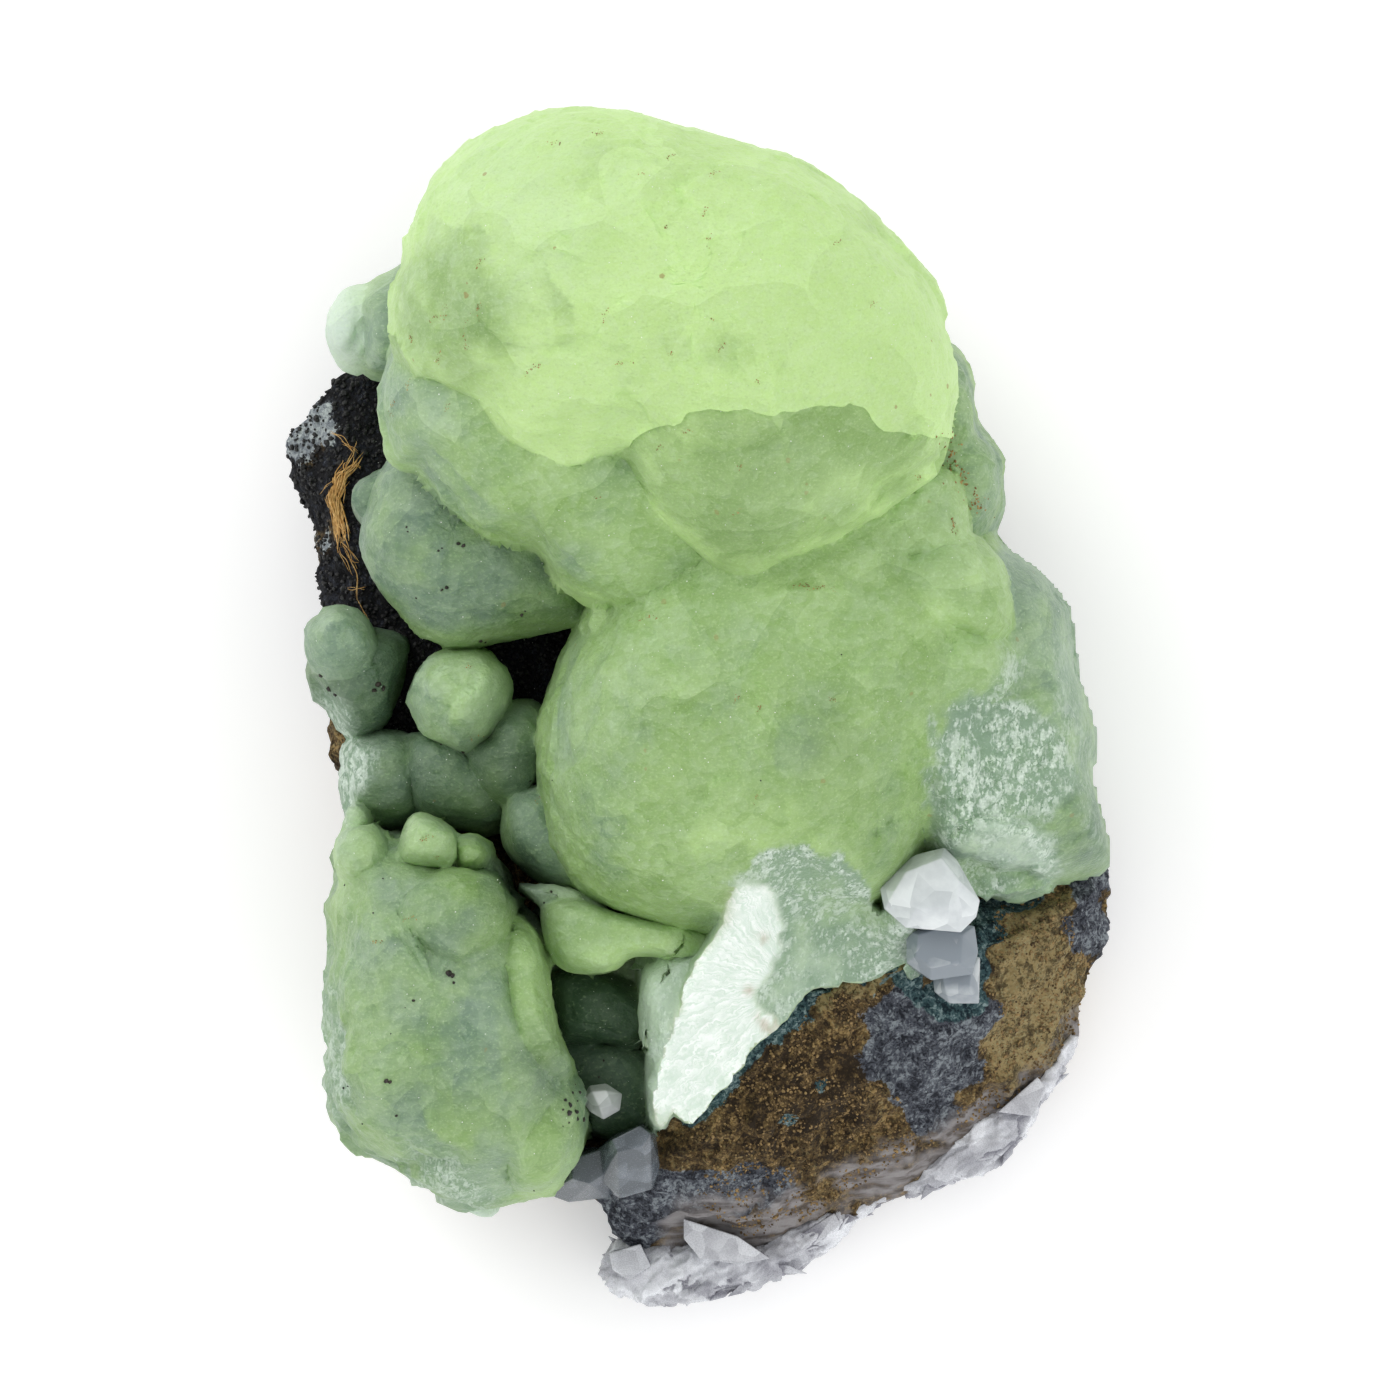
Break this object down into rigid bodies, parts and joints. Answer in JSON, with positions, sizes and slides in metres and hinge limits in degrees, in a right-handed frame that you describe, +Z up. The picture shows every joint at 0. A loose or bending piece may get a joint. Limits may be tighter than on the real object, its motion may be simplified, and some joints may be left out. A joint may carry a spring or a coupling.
{
  "type": "prehnite mineral specimen",
  "caption": "Hand-sized natural specimen of green domed prehnite on dark host rock, with a broken white edge and small pale crystals, lying on its back.",
  "frame": {"origin": "middle of the specimen's bounding box, on the plane that it rests on", "axes": "+Z up, away from the rock's flat underside and through the domes; +Y along the long way, from the white edge crust to the crown dome; +X towards the fractured wall"},
  "size_m": [0.0692, 0.1015, 0.058],
  "materials": {
    "prehnite": "waxy, softly translucent yellow-green to blue-green, with frosted growth facets",
    "rock": "rough broken rock, black and granular to earthy brown and grey-blue",
    "white_crystal": "clear to milky white, glassy faces",
    "lilac_crystal": "translucent pale lilac grey, cleaved faces",
    "white_crust": "sugary white crust with a lilac tint"
  },
  "bodies": {
    "root": {"prehnite": "prehnite", "matrix_rock": "rock", "white_crystal": "white_crystal", "pocket_crystal": "white_crystal", "lilac_crystal": "lilac_crystal", "edge_crust": "white_crust"}
  },
  "joints": []
}
